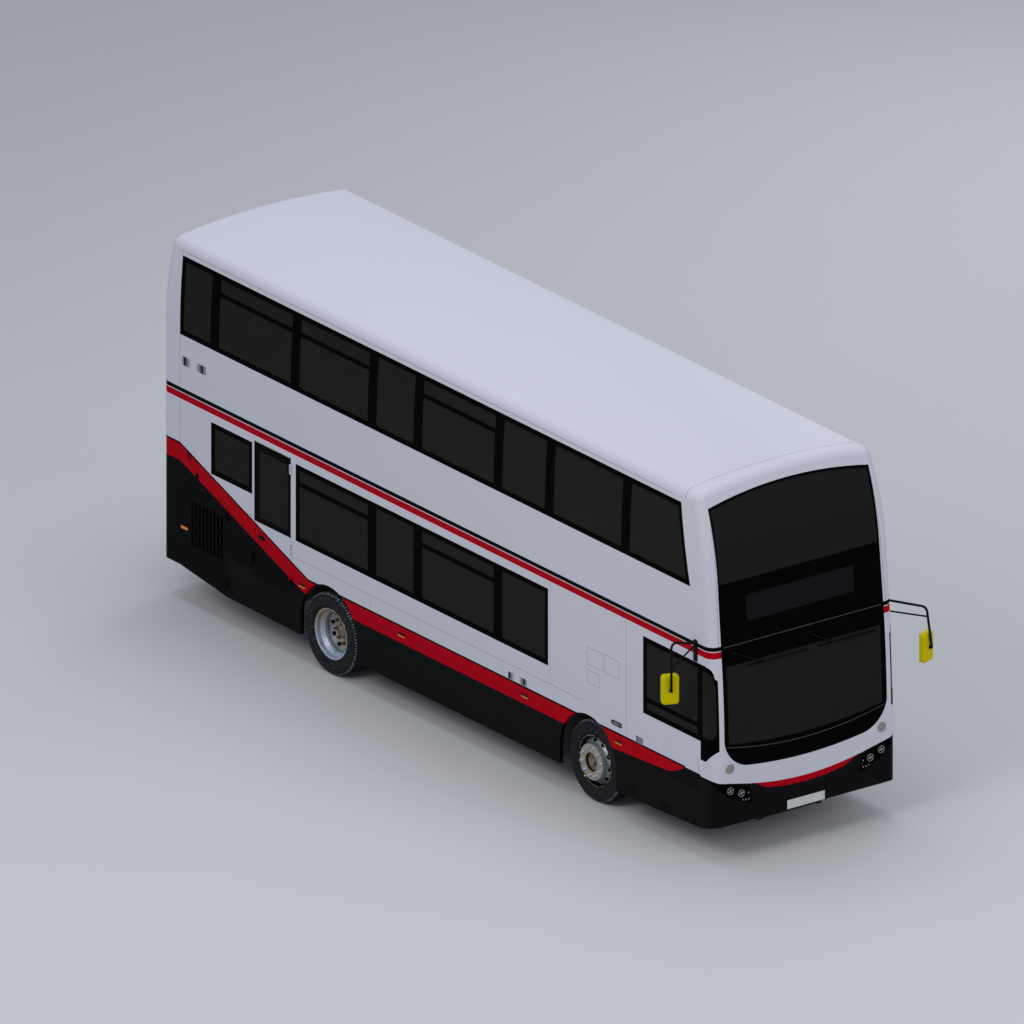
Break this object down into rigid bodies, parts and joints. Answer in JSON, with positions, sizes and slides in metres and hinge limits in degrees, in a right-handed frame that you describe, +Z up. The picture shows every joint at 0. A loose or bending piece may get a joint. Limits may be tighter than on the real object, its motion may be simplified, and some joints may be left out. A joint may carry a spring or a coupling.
{
  "type": "double-decker bus",
  "caption": "Low-floor double-decker city bus with a white body, red and black stripes, dark glazing, steered front wheels, twin rear wheels, opening doors and covers.",
  "frame": {"origin": "on the ground, at the middle of the box round the whole bus with its mirrors", "axes": "+X forward, +Y to the bus's left (nearside), +Z up"},
  "size_m": [10.485, 3.3202, 4.38],
  "materials": {
    "axle_grey": "painted casting",
    "black_metal": "satin",
    "body_white": "satin coach paint",
    "chassis_black": "matt chassis paint",
    "display_glass": "dark, switched off",
    "engine_grey": "painted casting",
    "floor_vinyl": "matt vinyl",
    "lamp_glass": "smoked lens",
    "mask_black": "gloss",
    "mirror_yellow": "gloss",
    "orange_lens": "lens",
    "plate_white": "blank plate",
    "red_lens": "lens",
    "rim_tan": "worn silver paint",
    "roof_white": "satin coach paint",
    "seat_fabric": "moquette",
    "skirt_black": "satin coach paint",
    "spring_rubber": "matt",
    "tinted_glass": "dark tint",
    "trim_grey": "matt moulding",
    "tyre_rubber": "matt"
  },
  "bodies": {
    "body": {"air_springs": "spring_rubber", "cab_interior": "trim_grey", "chassis_frame": "chassis_black", "destination_display": "display_glass", "engine_block": "engine_grey", "front_axle_beam": "axle_grey", "front_bumper": "skirt_black", "front_dome": "body_white", "front_fascia": "body_white", "front_mask": "mask_black", "headlamps": "lamp_glass", "hinge_lugs": "black_metal", "lower_floor": "floor_vinyl", "lower_seats": "seat_fabric", "lower_side_left": "body_white", "lower_side_right": "body_white", "marker_lamps": "orange_lens", "mirror_arms": "black_metal", "mirror_heads": "mirror_yellow", "number_plates": "plate_white", "rear_axle": "axle_grey", "rear_glass": "tinted_glass", "rear_lamps": "red_lens", "rear_wall": "body_white", "roof": "roof_white", "side_glass": "tinted_glass", "skirts": "skirt_black", "staircase": "floor_vinyl", "upper_floor": "floor_vinyl", "upper_seats": "seat_fabric", "upper_side_left": "body_white", "upper_side_right": "body_white", "wheel_boxes": "trim_grey", "window_frames": "mask_black", "windscreens": "tinted_glass", "wipers": "black_metal"},
    "emergency_door": {"emergency_door": "body_white", "emergency_door_glass": "tinted_glass"},
    "radiator_door": {"radiator_door": "skirt_black"},
    "filler_flap": {"filler_flap": "skirt_black"},
    "tie_rod": {"tie_rod": "axle_grey"},
    "engine_cover": {"engine_cover": "skirt_black"},
    "entrance_leaf_rear": {"entrance_leaf_rear": "mask_black", "entrance_glass_rear": "tinted_glass"},
    "entrance_leaf_front": {"entrance_leaf_front": "mask_black", "entrance_glass_front": "tinted_glass"},
    "steering_wheel": {"steering_wheel": "black_metal"},
    "knuckle_right": {"knuckle_right": "axle_grey"},
    "knuckle_left": {"knuckle_left": "axle_grey"},
    "front_wheel_right": {"front_tyre_right": "tyre_rubber", "front_rim_right": "rim_tan"},
    "front_wheel_left": {"front_tyre_left": "tyre_rubber", "front_rim_left": "rim_tan"},
    "rear_wheels_right": {"rear_tyres_right": "tyre_rubber", "rear_rims_right": "rim_tan"},
    "rear_wheels_left": {"rear_tyres_left": "tyre_rubber", "rear_rims_left": "rim_tan"}
  },
  "joints": [
    {"name": "emergency_door_hinge", "type": "hinge", "parent": "body", "child": "emergency_door", "pos_m": [-2.846, -1.282, 1.3], "axis": [0, 0, 1], "range_deg": [0, 100]},
    {"name": "radiator_door_hinge", "type": "hinge", "parent": "body", "child": "radiator_door", "pos_m": [-4.039, -1.282, 0.9], "axis": [0, 0, 1], "range_deg": [0, 100]},
    {"name": "filler_flap_hinge", "type": "hinge", "parent": "body", "child": "filler_flap", "pos_m": [-3.554, -1.282, 0.945], "axis": [0, 0, 1], "range_deg": [0, 100]},
    {"name": "engine_cover_hinge", "type": "hinge", "parent": "body", "child": "engine_cover", "pos_m": [-5.243, 0, 1.497], "axis": [0, 1, 0], "range_deg": [0, 80]},
    {"name": "entrance_rear_leaf_hinge", "type": "hinge", "parent": "body", "child": "entrance_leaf_rear", "pos_m": [3.54, 1.19, 1.3], "axis": [0, 0, -1], "range_deg": [0, 85]},
    {"name": "entrance_front_leaf_hinge", "type": "hinge", "parent": "body", "child": "entrance_leaf_front", "pos_m": [4.638, 1.19, 1.3], "axis": [0, 0, 1], "range_deg": [0, 85]},
    {"name": "steer_right", "type": "hinge", "parent": "body", "child": "knuckle_right", "pos_m": [2.659, -0.9, 0.48], "axis": [0, 0, 1], "range_deg": [-45, 45]},
    {"name": "steer_left", "type": "hinge", "parent": "body", "child": "knuckle_left", "pos_m": [2.659, 0.9, 0.48], "axis": [0, 0, 1], "range_deg": [-45, 45]},
    {"name": "steering_wheel_turn", "type": "hinge", "parent": "body", "child": "steering_wheel", "pos_m": [4.339, -0.72, 1.33], "axis": [-0.4226, 0, 0.9063], "range_deg": [-810, 810]},
    {"name": "tie_rod_pivot", "type": "hinge", "parent": "knuckle_right", "child": "tie_rod", "pos_m": [2.449, -0.86, 0.205], "axis": [0, 0, 1], "range_deg": [-45, 45]},
    {"name": "front_wheel_right_spin", "type": "hinge", "parent": "knuckle_right", "child": "front_wheel_right", "pos_m": [2.659, -1.053, 0.48], "axis": [0, 1, 0], "continuous": true},
    {"name": "rear_wheels_right_spin", "type": "hinge", "parent": "body", "child": "rear_wheels_right", "pos_m": [-2.141, -1.123, 0.48], "axis": [0, 1, 0], "continuous": true},
    {"name": "front_wheel_left_spin", "type": "hinge", "parent": "knuckle_left", "child": "front_wheel_left", "pos_m": [2.659, 1.053, 0.48], "axis": [0, 1, 0], "continuous": true},
    {"name": "rear_wheels_left_spin", "type": "hinge", "parent": "body", "child": "rear_wheels_left", "pos_m": [-2.141, 1.123, 0.48], "axis": [0, 1, 0], "continuous": true}
  ],
  "couplings": [
    {"joint": "steer_left", "follows": "steer_right", "ratio": 1},
    {"joint": "tie_rod_pivot", "follows": "steer_right", "ratio": -1},
    {"joint": "steering_wheel_turn", "follows": "steer_right", "ratio": 18}
  ]
}
